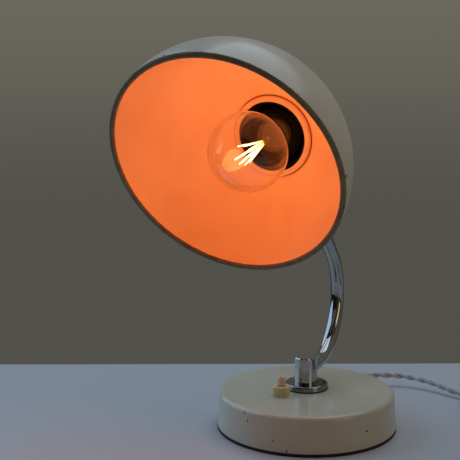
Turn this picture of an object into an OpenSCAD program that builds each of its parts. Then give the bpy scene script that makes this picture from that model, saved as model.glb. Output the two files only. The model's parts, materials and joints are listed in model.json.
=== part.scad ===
// Bedside lamp with a hemispherical shade on a bent chrome arm.
// Origin: centre of the base's underside. +Z is up and the lamp faces -Y, so the arm lies in the YZ plane.

/* [Base] */
// Outside diameter of the base where it meets the edge ring
base_d = 150; // [130:1:180]
// How much narrower the base is at its top edge, on each side
base_flare = 1.5; // [0:0.1:3]
// Height of the base's top edge
base_h = 31.3; // [28:0.1:40]
// Radius of the pressed top edge
base_edge_r = 4; // [2:0.5:6]
// Rise of the base's top from its edge to its centre
base_crown = 1.6; // [1:0.1:3]
// Sheet thickness of the base shell
base_wall = 1.5; // [1:0.1:2.5]
// Height of the black rubber ring round the bottom
edge_ring_h = 2.6; // [2:0.1:4]
// Width of the rubber ring, measured inwards
edge_ring_w = 4; // [3:0.5:8]
// Thickness of the steel bottom plate
plate_t = 1.5; // [1:0.1:3]
// Gap between the cast iron weight and the outside of the base
weight_gap = 9; // [7:0.5:20]
// Thickness of the cast iron weight
weight_t = 9; // [5:0.5:11]
// Distance of the bottom screws from the outside of the base
post_inset = 19; // [17:1:24]
// Width across flats of the hexagonal posts
post_af = 7; // [6:0.5:9]

/* [Pivot] */
// Diameter of the chrome flange on the base
flange_d = 36; // [30:1:44]
// Thickness of the chrome flange
flange_t = 4; // [3:0.5:6]
// Thickness of the fibre gasket under the flange
gasket_t = 1; // [0.5:0.1:2]
// Diameter of the hollow pivot stud
stud_d = 10; // [8:1:12]
// Bore of the pivot stud
stud_bore = 7; // [5:0.5:7.5]
// Diameter of the chrome knuckle
knuckle_d = 19; // [17:0.5:24]
// Height of the chrome knuckle
knuckle_h = 22; // [19:0.5:30]
// Forward offset of the knuckle on its flange
knuckle_shift = 1.5; // [0:0.5:3]

/* [Arm] */
// Outside diameter of the arm tube
arm_d = 12; // [10:0.5:13]
// Wall of the arm tube
arm_wall = 1; // [0.8:0.1:1.5]
// Centre-line radius of the bend
bend_r = 53; // [42:1:70]
// Angle that the tube turns through
bend_angle = 134; // [125:1:142]
// Distance from the pivot to where the bend starts
bend_start = 17.5; // [13:0.5:25]
// Length from the end of the bend to the tilt axis
arm_reach = 108; // [95:1:130]

/* [Tilt joint] */
// Radius of the eye and of the fork's cheeks
eye_r = 7.5; // [6.5:0.5:8.5]
// Thickness of the eye between the cheeks
eye_t = 7; // [5:0.5:9]
// Thickness of each cheek
cheek_t = 3; // [2:0.5:5]
// Thickness of each friction washer
tilt_washer_t = 0.6; // [0.4:0.1:1]
// Diameter of the tilt screw
tilt_screw_d = 5; // [4:0.5:6]
// Length of the fork below the tilt axis
fork_len = 20; // [17:1:28]

/* [Shade] */
// Outside radius of the shade
shade_r = 87; // [72:0.5:105]
// Sheet thickness of the shade
shade_wall = 0.8; // [0.6:0.1:1.5]
// Diameter of the rolled rim
rim_d = 4; // [3:0.5:6]
// Depth of the straight skirt between the dome and the rim
rim_drop = 1.8; // [0:0.1:5]
// Angle of the lampholder's axis above level
holder_pitch = 12.7; // [5:0.1:25]
// Angle between the shade's axis and the lampholder's axis
shade_offset_angle = 16.5; // [0:0.5:20]
// Width of the shade's pressed flat outside the cup
seat_margin = 3; // [2:0.5:6]

/* [Lampholder] */
// Outside diameter of the cup behind the shade
cup_d = 58; // [56:0.5:70]
// Depth of the cup
cup_depth = 62; // [59:1:75]
// Sheet thickness of the cup
cup_wall = 1; // [0.8:0.1:1.5]
// Rounding of the cup's rear edge
cup_round = 8; // [4:0.5:12]
// Gap between the bakelite skirt and the cup
skirt_gap = 1.1; // [0.6:0.1:2]
// Wall of the bakelite skirt
skirt_wall = 2.4; // [2:0.1:3]
// Width of the ring that holds the shade
ring_w = 4.1; // [3:0.1:6]
// Thickness of the ring that holds the shade
ring_t = 2.6; // [2:0.1:4]
// Diameter of the lampholder's body
holder_d = 40; // [38:0.5:42]
// Distance from the side of the cup to the tilt axis
tilt_gap = 11; // [10:0.5:18]

/* [Bulb] */
// Diameter of the bulb's globe
bulb_d = 58; // [48:1:70]
// Length of the bulb's straight neck in front of the shade's seat
neck_len = 8.4; // [5:0.1:14]
// Diameter of the bulb's neck
neck_d = 32; // [30:0.5:34]
// Radius of the curve between the globe and the neck
neck_blend_r = 25; // [20:1:32]
// Thickness of the glass
glass_t = 0.6; // [0.4:0.1:1]

/* [Switch] */
// Place of the switch to the right of the pivot
switch_x = -10.5; // [-14:0.5:14]
// Place of the switch behind the pivot
switch_y = -28; // [-34:0.5:-27]
// Diameter of the fluted collar
collar_d = 14.3; // [13:0.1:17]
// Height of the fluted collar
collar_h = 7.8; // [5:0.1:10]
// Number of flutes on the collar
flutes = 18; // [8:1:24]
// Diameter of the push button
button_d = 6.4; // [5:0.1:7]
// Height of the button above the collar
button_proud = 8; // [5:0.5:9]
// Travel of the button
button_travel = 3; // [1:0.5:4]

/* [Cord] */
// Diameter of the twisted pair
cord_d = 5.8; // [5:0.1:6.4]
// Height of the cord's exit above the table
cord_z = 11; // [9.5:0.5:13]
// Diameter through the middle of the coil's turns
coil_mid_d = 66; // [60:1:80]
// Diameter of the plug's body
plug_d = 34; // [30:1:38]

/* [Hidden] */
$fn = 64;
e = 0.01;               // overlap that keeps cuts clean
join = 1.5;             // how far one run of a bent bar starts inside the other
hair = 0.05;            // how much thinner that run is
turn_gap = 0.06;        // clearance between faces that turn or slide on each other

// Base, worked out
base_r = base_d / 2;
top_r = base_r - base_flare;
flat_r = top_r - base_edge_r;
crown_r = (pow(flat_r, 2) + pow(base_crown, 2)) / (2 * base_crown);
flange_seat_r = flange_d / 2 + 1;
function crown_z(r) = base_h + base_crown - crown_r + sqrt(pow(crown_r, 2) - r * r);
pivot_z = crown_z(flange_seat_r);
ceiling_z = pivot_z - base_wall;
plate_z = edge_ring_h;
weight_z = plate_z + plate_t;
weight_top = weight_z + weight_t;
weight_bore_r = 16;
weight_slot_w = 30;
post_angles = [30, 150, 270];
post_circle_r = base_r - post_inset;
screw_d = 4;
plate_head_d = 7.5;

// Pivot and arm, worked out
flange_z = pivot_z + gasket_t + turn_gap;
flange_edge_r = 1.4;
knuckle_z = flange_z + flange_t;
knuckle_chamfer = 0.8;
stud_in = 3;
arm_z = knuckle_z + knuckle_h / 2;
arm_bore = arm_d - 2 * arm_wall;
tube_start = knuckle_d / 2 - knuckle_shift - 5;
bend_end_y = bend_start + bend_r * sin(bend_angle);
bend_end_z = arm_z + bend_r * (1 - cos(bend_angle));
tilt_y = bend_end_y + arm_reach * cos(bend_angle);
tilt_z = bend_end_z + arm_reach * sin(bend_angle);
slot_w = eye_t + 2 * (tilt_washer_t + turn_gap);
fork_w = slot_w + 2 * cheek_t;
plug_in = 10;
lead_d = 4;
washer_t = 1.2;
spring_washer_t = 1.6;
nut_t = 3;
nut_gap = 0.2;
stud_foot = ceiling_z - washer_t - turn_gap - spring_washer_t - 2 * (nut_t + nut_gap) - 1.8;

// Head, worked out: its frame has its origin on the shade's seat and +Z backwards along the lampholder
cup_r = cup_d / 2;
lip_w = 1.6;
seat_r = cup_r + seat_margin;
seat_dist = sqrt(pow(shade_r, 2) - pow(seat_r, 2));
skirt_r = cup_r - cup_wall - skirt_gap;
skirt_depth = 26;
ring_r = skirt_r + ring_w;
bracket_half = 12;
tilt_back = cup_depth - cup_round - bracket_half;
tilt_drop = cup_r + tilt_gap;
rivet_x = 5.6;
rivet_d = 2.4;
holder_front = 6;
holder_depth = cup_depth - holder_front - 14;
shell_r = 14.5;
shell_t = 0.5;
cap_r = 13.1;
cap_front = 5;
cap_len = 22;
contact_z = 33;
nipple_in = 8;
nipple_end = cup_depth + 10;
globe_r = bulb_d / 2;
neck_r = neck_d / 2;
blend_x = neck_r + neck_blend_r;
blend_rise = sqrt(pow(globe_r + neck_blend_r, 2) - pow(blend_x, 2));
bulb_reach = blend_rise + neck_len;
stem_tip = 23.5 - bulb_reach;
filament_r = 9;
filament_z = -6.5 - bulb_reach;
filament_wire_r = 0.6;

// Switch and terminals, worked out
switch_floor = crown_z(norm([switch_x, switch_y])) - base_wall;
collar_top = crown_z(norm([switch_x, switch_y])) + collar_h;
collar_neck_r = 5.2;
button_gap = 0.1;
switch_body_h = 12;
switch_body_r = 7.5;
switch_foot = switch_floor - switch_body_h - 0.5;
spring_room = button_travel + 4;
spring_floor = switch_foot + 1.5;
button_foot = spring_floor + spring_room;
spring_turns = 5;
spring_wire_r = 0.3;
spring_r = button_d / 2 - 0.8;
terminal_h = 2;
terminal_x = 4;
block_x = 26;
block_y = -6;
block_l = 18;
block_h = 10;
clamp_y = 44;

// Cord, worked out and laid by hand
cord_r = cord_d / 2;
bush_wall = 1.6;
bush_out = 18;
coil_lift = 0.8;
coil_rows = 3;
coil_w = coil_rows * cord_d;
coil_in_r = coil_mid_d / 2 - coil_w / 2;
coil_centre = [163, 92, 0];
tie_angle = 200;
tie_w = 6;
tie_gap = 0.3;
tie_t = 0.5;
cord_route = [[0, 93, 11], [1, 105, 11.5], [7, 119, 11], [19, 133, 10.5], [37, 142, 10], [54, 143, 9],
              [70, 140, 8], [84, 134, 6.5], [98, 129, 5], [112, 128, 4], [128, 129, 3.7], [146, 130.6, 3.7]];
tail_route = [[200, 100, 15.2], [201, 86, 15.4], [201.5, 74, 16], [202, 62, 17]];
plug_axis = [202, 62, 17];
plug_sleeve_len = 14;
plug_len = 32;
plug_taper = 12;
plug_edge = 1.5;
pin_d = 4.8;
pin_root_d = 4.2;
pin_len = 19;
pin_pitch = 19;
pin_root = 12;

// ---- Shared shapes ----

// A tube swept through points, with a smooth curve between them. ref is never along the route.
function curve_point(a, b, c, d, t) =
    0.5 * (2 * b + (c - a) * t + (2 * a - 5 * b + 4 * c - d) * t * t + (3 * b - a - 3 * c + d) * t * t * t);
function smooth_route(p, n) = [
    for (i = [0 : len(p) - 2], j = [0 : n - 1])
        curve_point(p[max(i - 1, 0)], p[i], p[i + 1], p[min(i + 2, len(p) - 1)], j / n),
    p[len(p) - 1]];
function unit(v) = v / norm(v);
function heading(p, i) = unit(p[min(i + 1, len(p) - 1)] - p[max(i - 1, 0)]);
function ring_points(p, i, r, sides, ref) =
    let (t = heading(p, i), u = unit(cross(ref, t)), v = cross(t, u))
    [for (k = [0 : sides - 1]) p[i] + r * (cos(360 * k / sides) * u + sin(360 * k / sides) * v)];
module swept_tube(route, r, sides = 8, ref = [0, 0, 1]) {
    last = len(route) - 1;
    points = [for (i = [0 : last]) each ring_points(route, i, r, sides, ref)];
    walls = [for (i = [0 : last - 1], k = [0 : sides - 1])
        let (a = i * sides + k, b = i * sides + (k + 1) % sides)
        each [[a, a + sides, b + sides], [a, b + sides, b]]];
    start_cap = [[for (k = [0 : sides - 1]) k]];
    end_cap = [[for (k = [sides - 1 : -1 : 0]) last * sides + k]];
    polyhedron(points, concat(walls, start_cap, end_cap));
}

// A ring: outer radius, inner radius, height, standing on z = 0.
module tube(r_out, r_in, h) {
    difference() {
        cylinder(r = r_out, h = h);
        translate([0, 0, -e]) cylinder(r = r_in, h = h + 2 * e);
    }
}

module slotted_screw(head_d, head_h, shank_d, shank_len) {
    difference() {
        union() {
            cylinder(d = head_d, h = head_h);
            translate([0, 0, -shank_len]) cylinder(d = shank_d, h = shank_len + e);
        }
        translate([-head_d, -0.4, head_h * 0.55]) cube([2 * head_d, 0.8, head_h]);
    }
}

// Frames that the joints hang from
module at_arm_end() { translate([0, tilt_y, tilt_z]) rotate([bend_angle, 0, 0]) children(); }
module at_holder() {
    translate([0, tilt_y, tilt_z]) rotate([holder_pitch, 0, 0])
        translate([0, -tilt_back, tilt_drop]) rotate([-90, 0, 0]) children();
}
module at_switch(z) { translate([switch_x, switch_y, z]) children(); }
module at_posts() { for (a = post_angles) rotate([0, 0, a]) translate([post_circle_r, 0, 0]) children(); }
module at_rivets(depth) {
    for (s = [-1, 1], t = [-1, 1]) translate([s * rivet_x, depth, tilt_back + t * (bracket_half - 2)])
        rotate([-90, 0, 0]) union() children();
}
module at_plug() { translate(plug_axis) rotate([90, 0, 0]) children(); }

// ---- Base ----

// Half section of the base's outer skin, moved inwards by inset.
module base_section(inset) {
    intersection() {
        union() {
            polygon([[0, 0], [base_r - inset, 0], [top_r - inset, base_h - base_edge_r],
                     [0, base_h - base_edge_r]]);
            translate([flat_r, base_h - base_edge_r]) circle(r = base_edge_r - inset);
            intersection() {
                translate([0, base_h + base_crown - crown_r]) circle(r = crown_r - inset, $fn = 4096);
                translate([0, base_h - base_edge_r - e]) square([flat_r, base_edge_r + base_crown]);
            }
        }
        square([base_d, pivot_z - inset]);
    }
}
module base_solid(inset) { rotate_extrude() base_section(inset); }

module base_shell() {
    color("antiquewhite") difference() {
        base_solid(0);
        base_solid(base_wall);
        translate([0, 0, -e]) cylinder(r = base_d, h = edge_ring_h + e);
        cylinder(d = stud_d + 2 * turn_gap, h = base_d);
        at_switch(0) cylinder(r = collar_neck_r, h = base_d);
        translate([0, 0, cord_z]) rotate([-90, 0, 0]) cylinder(r = cord_r + bush_wall, h = base_d);
    }
}
module base_edge_ring() { color("black") tube(base_r, base_r - edge_ring_w, edge_ring_h); }
module base_plate() {
    color("dimgray") difference() {
        translate([0, 0, plate_z]) cylinder(r = base_r - base_wall - base_flare * 0.2, h = plate_t);
        at_posts() cylinder(d = screw_d, h = base_d);
    }
}
module base_weight() {
    color("darkslategray") difference() {
        translate([0, 0, weight_z]) tube(base_r - weight_gap, weight_bore_r, weight_t);
        at_posts() cylinder(d = post_af + 3, h = base_d);
        translate([-weight_slot_w / 2, 22, weight_z - e]) cube([weight_slot_w, base_r, weight_t + 1]);
    }
}
module felt_pad() {
    color("darkolivegreen") difference() {
        cylinder(r = base_r - edge_ring_w, h = edge_ring_h);
        at_posts() translate([0, 0, -e]) cylinder(d = plate_head_d + 1, h = edge_ring_h + 2 * e);
    }
}
module base_posts() {
    color("silver") intersection() {
        at_posts() difference() {
            translate([0, 0, weight_z]) cylinder(d = post_af / cos(30), h = base_h, $fn = 6);
            translate([0, 0, weight_z - e]) cylinder(d = screw_d, h = 9);
        }
        base_solid(base_wall);
    }
}
module plate_screws() {
    color("silver") at_posts() translate([0, 0, edge_ring_h]) rotate([180, 0, 0])
        slotted_screw(plate_head_d, edge_ring_h - 0.6, screw_d, 7);
}
module flange_gasket() {
    color("black") translate([0, 0, pivot_z]) tube(flange_d / 2 + 0.3, stud_d / 2 + turn_gap, gasket_t);
}
module pivot_washer() {
    color("silver") translate([0, 0, ceiling_z - washer_t]) tube(stud_d / 2 + 4, stud_d / 2 + turn_gap, washer_t);
}

// ---- Switch ----

module switch_body() {
    color("saddlebrown") at_switch(0) difference() {
        union() {
            translate([0, 0, switch_foot]) cylinder(r = switch_body_r, h = switch_body_h);
            translate([0, 0, switch_floor - 1])
                cylinder(r = collar_neck_r - turn_gap, h = collar_top - switch_floor - 1);
        }
        translate([0, 0, spring_floor]) cylinder(d = button_d + 2 * button_gap, h = base_d);
    }
}
module switch_collar() {
    color("wheat") difference() {
        at_switch(switch_floor) difference() {
            cylinder(d = collar_d, h = collar_top - switch_floor);
            translate([0, 0, -e]) cylinder(r = collar_neck_r - turn_gap, h = collar_top - switch_floor - 2 + e);
            cylinder(d = button_d + 1.6, h = base_d);
            for (i = [0 : flutes - 1]) rotate([0, 0, 360 * i / flutes])
                translate([collar_d / 2 + 0.45, 0, -e]) cylinder(d = 1.8, h = collar_top - switch_floor - 1.2);
        }
        base_solid(0);
    }
}
module switch_button() {
    color("rosybrown") at_switch(button_foot) {
        cylinder(d = button_d, h = collar_top + button_proud - button_foot - 1);
        translate([0, 0, collar_top + button_proud - button_foot - 1 - e])
            cylinder(r1 = button_d / 2, r2 = button_d / 2 - 0.8, h = 1);
    }
}
module switch_spring() {
    coil = [for (i = [0 : 12 * spring_turns]) [spring_r * cos(30 * i), spring_r * sin(30 * i),
        spring_wire_r + hair + i / (12 * spring_turns) * (spring_room - 2 * spring_wire_r - 2 * hair)]];
    color("silver") at_switch(spring_floor) swept_tube(coil, spring_wire_r, 6);
}
module switch_terminals() {
    color("gold") at_switch(switch_foot - terminal_h) for (s = [-1, 1])
        translate([s * terminal_x - 1, -1.5, 0]) cube([2, 3, terminal_h]);
}
module terminal_block() {
    color("ivory") translate([block_x, block_y - block_l / 2, weight_top]) difference() {
        cube([12, block_l, block_h]);
        for (s = [0.25, 0.75]) translate([-1, block_l * s, 4]) rotate([0, 90, 0]) cylinder(d = 3, h = 14);
        for (s = [0.25, 0.75]) translate([6, block_l * s, 4]) cylinder(d = 3, h = block_h);
    }
}
module terminal_screws() {
    color("gold") for (s = [0.25, 0.75])
        translate([block_x + 6, block_y - block_l / 2 + block_l * s, weight_top + 8])
            slotted_screw(2.9, 1.5, 2.4, 3);
}
module switch_leads() {
    color("dimgray") for (s = [-1, 1]) {
        start = [switch_x + s * terminal_x, switch_y, switch_foot - terminal_h];
        swept_tube(smooth_route([start, start - [0, 0, 0.4], start - [0, 0, 0.8], start + [2.5, 1, -1.8],
            start + [12, 4, -1.6],
            [block_x - 6, block_y - s * block_l / 4 - 2, weight_top + 3.5],
            [block_x, block_y - s * block_l / 4, weight_top + 4]], 4), 0.9, 8, [0, 1, 0]);
    }
}

// ---- Cord entry ----

module cord_inner() {
    color("lavender") swept_tube(smooth_route([[0, base_r - 6, cord_z], [0, clamp_y + 12, cord_z],
        [0, clamp_y, cord_z - 0.5], [0, clamp_y - 10, cord_z], [5, 24, weight_top + 3.4],
        [block_x - 10, 14, weight_top + 4], [block_x + 2, block_y + block_l / 2 + 1.5, weight_top + 4]], 3),
        cord_r - 0.4);
}
module cord_clamp() {
    color("silver") translate([-11, clamp_y - 4, cord_z + cord_r]) difference() {
        cube([22, 8, 1.5]);
        for (x = [3.5, 18.5]) translate([x, 4, -e]) cylinder(d = 3, h = 2);
    }
}
module clamp_screws() {
    color("silver") for (x = [-7.5, 7.5]) translate([x, clamp_y, cord_z + cord_r + 1.5])
        slotted_screw(5.5, 2, 3, cord_z + cord_r + 1.5 - weight_z);
}
module cord_bush() {
    color("black") translate([0, base_r - 6, cord_z]) rotate([-90, 0, 0]) difference() {
        union() {
            cylinder(r = cord_r + 3, h = 6 - base_wall - base_flare * 0.9);
            cylinder(r = cord_r + bush_wall, h = 7);
            translate([0, 0, 6 + 0.2]) cylinder(r = cord_r + 2.6, h = 2.6);
            translate([0, 0, 8]) cylinder(r1 = cord_r + 2, r2 = cord_r + 0.7, h = bush_out - 2);
        }
        translate([0, 0, -e]) cylinder(r = cord_r - 0.4, h = 6 + e);
        translate([0, 0, 6]) cylinder(r = cord_r, h = 40);
    }
}

// ---- Pivot ----

module pivot_flange() {
    color("lightgray") translate([0, 0, flange_z]) rotate_extrude() difference() {
        union() {
            square([flange_d / 2, flange_t - flange_edge_r]);
            translate([0, flange_t - flange_edge_r]) square([flange_d / 2 - flange_edge_r, flange_edge_r]);
            translate([flange_d / 2 - flange_edge_r, flange_t - flange_edge_r]) circle(r = flange_edge_r);
        }
        translate([0, -e]) square([stud_d / 2, flange_t + 2 * e]);
    }
}
module pivot_stud() {
    color("silver") translate([0, 0, stud_foot]) tube(stud_d / 2, stud_bore / 2, knuckle_z + stud_in - stud_foot);
}
module pivot_spring_washer() {
    color("silver") translate([0, 0, ceiling_z - washer_t - turn_gap - spring_washer_t])
        tube(stud_d / 2 + 3.5, stud_d / 2, spring_washer_t);
}
module nut() {
    difference() {
        cylinder(d = (stud_d + 4) / cos(30), h = nut_t, $fn = 6);
        translate([0, 0, -e]) cylinder(d = stud_d, h = nut_t + 2 * e);
    }
}
module pivot_nuts() {
    color("silver") for (i = [1, 2])
        translate([0, 0, ceiling_z - washer_t - turn_gap - spring_washer_t - i * nut_t - (i - 1) * nut_gap]) nut();
}
module knuckle() {
    color("lightgray") difference() {
        translate([0, -knuckle_shift, knuckle_z]) union() {
            cylinder(d = knuckle_d, h = knuckle_h - knuckle_chamfer);
            translate([0, 0, knuckle_h - knuckle_chamfer])
                cylinder(d1 = knuckle_d, d2 = knuckle_d - 2 * knuckle_chamfer, h = knuckle_chamfer);
        }
        translate([0, 0, knuckle_z - e]) cylinder(d = stud_d, h = stud_in + e);
        translate([0, 0, knuckle_z]) cylinder(d = stud_bore, h = knuckle_h / 2 + 3);
        translate([0, tube_start, arm_z]) rotate([-90, 0, 0]) cylinder(d = arm_d, h = knuckle_d);
        translate([0, 0, arm_z]) rotate([-90, 0, 0]) cylinder(d = arm_bore - 2, h = knuckle_d / 2);
    }
}

// ---- Arm ----

// A round bar along the arm: radius, y where it starts, and how far short of the tilt axis it ends.
// The straight runs are a hair thinner and reach a little way inside the bend, so that they join it cleanly.
module along_arm(r, start, short) {
    translate([0, start, arm_z]) rotate([-90, 0, 0]) cylinder(r = r - hair, h = bend_start + join - start);
    translate([0, bend_start, arm_z + bend_r]) rotate([0, -90, 0])
        rotate([0, 0, 180]) rotate_extrude(angle = -bend_angle) translate([bend_r, 0]) circle(r = r);
    at_arm_end() translate([0, -arm_reach - join, 0]) rotate([-90, 0, 0])
        cylinder(r = r - hair, h = arm_reach + join - short);
}
module arm_tube() {
    color("lightgray") difference() {
        along_arm(arm_d / 2, tube_start, fork_len);
        along_arm(arm_bore / 2, tube_start - 1, fork_len - 1);
    }
}
module arm_lead() {
    turn_r = 6;
    color("dimgray") {
        translate([0, 0, weight_top + 2]) cylinder(d = lead_d, h = arm_z - turn_r - weight_top - 2);
        translate([0, turn_r, arm_z - turn_r]) rotate([0, -90, 0])
            rotate_extrude(angle = -90) translate([turn_r, 0]) circle(d = lead_d);
        along_arm(lead_d / 2, turn_r, fork_len + plug_in);
    }
}
module arm_fork() {
    color("lightgray") at_arm_end() difference() {
        union() {
            translate([0, -fork_len - plug_in, 0]) rotate([-90, 0, 0])
                cylinder(r = arm_bore / 2 - 2 * hair, h = plug_in + e);
            translate([0, -fork_len, 0]) rotate([-90, 0, 0]) cylinder(r1 = arm_d / 2, r2 = fork_w / 2, h = 3 + e);
            intersection() {
                union() {
                    rotate([0, 90, 0]) cylinder(r = eye_r, h = fork_w, center = true);
                    translate([-fork_w / 2, -fork_len + 3, -eye_r]) cube([fork_w, fork_len - 3, 2 * eye_r]);
                }
                translate([0, -fork_len, 0]) rotate([-90, 0, 0]) cylinder(r = fork_w / 2 + 0.6, h = 2 * fork_len);
            }
        }
        translate([-slot_w / 2, -eye_r - 1.5, -fork_len]) cube([slot_w, 2 * fork_len, 2 * fork_len]);
        rotate([0, 90, 0]) cylinder(d = tilt_screw_d, h = 2 * fork_w, center = true);
        translate([0, -fork_len - plug_in - 1, 0]) rotate([-90, 0, 0]) cylinder(d = lead_d, h = plug_in + 8);
        translate([0, -fork_len + 6, 0]) rotate([180, 0, 0]) cylinder(d = lead_d, h = 20);
    }
}
module tilt_washers() {
    color("tan") at_arm_end() for (s = [0, 1]) mirror([s, 0, 0])
        translate([slot_w / 2 - tilt_washer_t, 0, 0]) rotate([0, 90, 0])
            tube(eye_r - 0.5, tilt_screw_d / 2, tilt_washer_t);
}
module tilt_screw() {
    color("lightgray") at_arm_end() translate([-fork_w / 2, 0, 0]) rotate([0, -90, 0])
        slotted_screw(10, 3, tilt_screw_d, fork_w + 8);
}
module tilt_knob() {
    color("lightgray") at_arm_end() translate([fork_w / 2, 0, 0]) rotate([0, 90, 0]) difference() {
        union() {
            cylinder(d = 14, h = 8);
            translate([0, 0, 8 - e]) cylinder(r1 = 7, r2 = 5.8, h = 1.2);
        }
        translate([0, 0, -e]) cylinder(d = tilt_screw_d, h = 8 + e);
        for (i = [0 : 19]) rotate([0, 0, 18 * i]) translate([7.3, 0, -e]) cylinder(d = 1.2, h = 8);
    }
}

// ---- Head ----

module tilt_bracket() {
    color("silver") at_holder() difference() {
        union() {
            intersection() {
                translate([0, 0, tilt_back - bracket_half]) tube(cup_r + 1.5, cup_r, 2 * bracket_half);
                translate([-8, 0, tilt_back - bracket_half]) cube([16, cup_d, 2 * bracket_half]);
            }
            translate([-eye_t / 2, 0, tilt_back]) rotate([90, 0, 90]) linear_extrude(eye_t) difference() {
                union() {
                    translate([tilt_drop, 0]) circle(r = eye_r);
                    polygon([[0, -9], [cup_r + 1, -9], [tilt_drop - 1, -eye_r + 0.1],
                             [tilt_drop - 1, eye_r - 0.1], [cup_r + 1, 9], [0, 9]]);
                }
                circle(r = 1);
            }
        }
        translate([0, 0, -1]) cylinder(r = cup_r, h = cup_depth + 2);
        translate([0, tilt_drop, tilt_back]) rotate([0, 90, 0])
            cylinder(r = tilt_screw_d / 2 + 0.05, h = fork_w, center = true);
        at_rivets(0) cylinder(d = rivet_d, h = cup_d);
    }
}
module bracket_rivets() {
    color("silver") at_holder() at_rivets(sqrt(pow(cup_r, 2) - pow(rivet_x, 2)) - cup_wall - 0.8) {
        cylinder(d = rivet_d, h = cup_wall + 3);
        translate([0, 0, cup_wall + 2.6]) cylinder(d = 4, h = 1);
    }
}

module cup_section(inset) {
    square([cup_r - inset, cup_depth - cup_round]);
    square([cup_r - cup_round, cup_depth - inset]);
    translate([cup_r - cup_round, cup_depth - cup_round]) circle(r = cup_round - inset);
}
module holder_cup() {
    color("antiquewhite") at_holder() difference() {
        union() {
            rotate_extrude() intersection() {
                cup_section(0);
                square([cup_d, cup_depth]);
            }
            cylinder(r = cup_r + lip_w, h = 1.4);
        }
        translate([0, 0, -e]) rotate_extrude() intersection() {
            cup_section(cup_wall);
            square([cup_d, cup_depth]);
        }
        cylinder(d = stud_d, h = 2 * cup_depth);
        at_rivets(0) cylinder(d = rivet_d, h = cup_d);
    }
}

// The shade's dome, with its pole on +Z, its rim below z = 0 and its wall inside shade_r
module dome_section() {
    difference() {
        circle(r = shade_r, $fn = 256);
        circle(r = shade_r - shade_wall, $fn = 256);
        translate([-2 * shade_r, -shade_r]) square([2 * shade_r, 2 * shade_r]);
        translate([0, -2 * shade_r]) square([2 * shade_r, 2 * shade_r]);
    }
    translate([shade_r - shade_wall, -rim_drop]) square([shade_wall, rim_drop]);
    translate([shade_r - rim_d / 2, -rim_drop]) circle(d = rim_d);
}
module shade() {
    color("antiquewhite") at_holder() difference() {
        union() {
            difference() {
                translate([0, 0, -seat_dist]) rotate([shade_offset_angle, 0, 0])
                    rotate_extrude($fn = 256) dome_section();
                cylinder(r = shade_r, h = shade_r);
            }
            translate([0, 0, -shade_wall]) cylinder(r = seat_r - shade_wall, h = shade_wall);
        }
        translate([0, 0, -shade_r]) cylinder(r = skirt_r + 0.4, h = 2 * shade_r);
    }
}
module shade_ring() {
    color("antiquewhite") at_holder() translate([0, 0, -shade_wall - ring_t]) rotate_extrude() difference() {
        union() {
            translate([0, 1]) square([ring_r, ring_t - 1]);
            square([ring_r - 1, 1 + e]);
            translate([ring_r - 1, 1]) circle(r = 1);
        }
        translate([0, -e]) square([skirt_r, ring_t + 2 * e]);
    }
}
module holder_skirt() {
    skirt_front = -shade_wall - ring_t + 0.6;
    color("black") at_holder() {
        translate([0, 0, skirt_front]) tube(skirt_r, skirt_r - skirt_wall, skirt_depth - skirt_front);
        translate([0, 0, skirt_depth - 3]) tube(skirt_r - skirt_wall + e, holder_d / 2, 3);
    }
}
module holder_body() {
    color("black") at_holder() translate([0, 0, holder_front]) difference() {
        cylinder(d = holder_d, h = holder_depth);
        translate([0, 0, -e]) cylinder(r = shell_r + shell_t, h = contact_z - holder_front + 3);
        cylinder(d = stud_d, h = 2 * holder_depth);
    }
}
// Rings of thread: pitch, radius and depth of the waves
module thread_section(r, depth, length, pitch) {
    for (i = [0 : floor(length / pitch) - 1])
        translate([r - depth, (i + 0.5) * pitch]) circle(r = depth * 1.6, $fn = 24);
}
module thread_shell() {
    color("gold") at_holder() translate([0, 0, holder_front + 1])
        tube(shell_r + shell_t, shell_r, contact_z - holder_front);
}
module holder_contacts() {
    color("gold") at_holder() {
        translate([-3, -9, contact_z + 0.9]) cube([6, 18, 0.6]);
        translate([0, 0, contact_z + 0.05]) cylinder(r = 2.5, h = 0.9);
    }
}
module holder_nipple() {
    nipple_start = holder_front + holder_depth - nipple_in;
    color("silver") at_holder() translate([0, 0, nipple_start])
        tube(stud_d / 2, stud_bore / 2, nipple_end - nipple_start);
}
module nipple_nuts() {
    color("silver") at_holder() for (z = [cup_depth - cup_wall - nut_t - hair, cup_depth + hair])
        translate([0, 0, z]) nut();
}
// Short flexible lead from the fork, over the tilt joint, to the back of the cup
module loop_lead() {
    fork_mouth = [0, tilt_y + (-fork_len + 6) * cos(bend_angle), tilt_z + (-fork_len + 6) * sin(bend_angle)];
    out = [0, sin(bend_angle), -cos(bend_angle)];
    back = [0, cos(holder_pitch), sin(holder_pitch)];
    cup_end = [0, tilt_y, tilt_z] + (nipple_end - tilt_back) * back
        + tilt_drop * [0, -sin(holder_pitch), cos(holder_pitch)];
    color("dimgray") swept_tube(smooth_route([fork_mouth + 3 * out, fork_mouth + 11 * out,
        fork_mouth + 21 * out + [0, 3, 6], cup_end + 21 * back + [0, 2, -14], cup_end + 14 * back + [0, 0, -2],
        cup_end + 6 * back, cup_end - 4 * back], 4), lead_d / 2 - 0.1, 10, [1, 0, 0]);
}

// ---- Bulb ----

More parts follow.
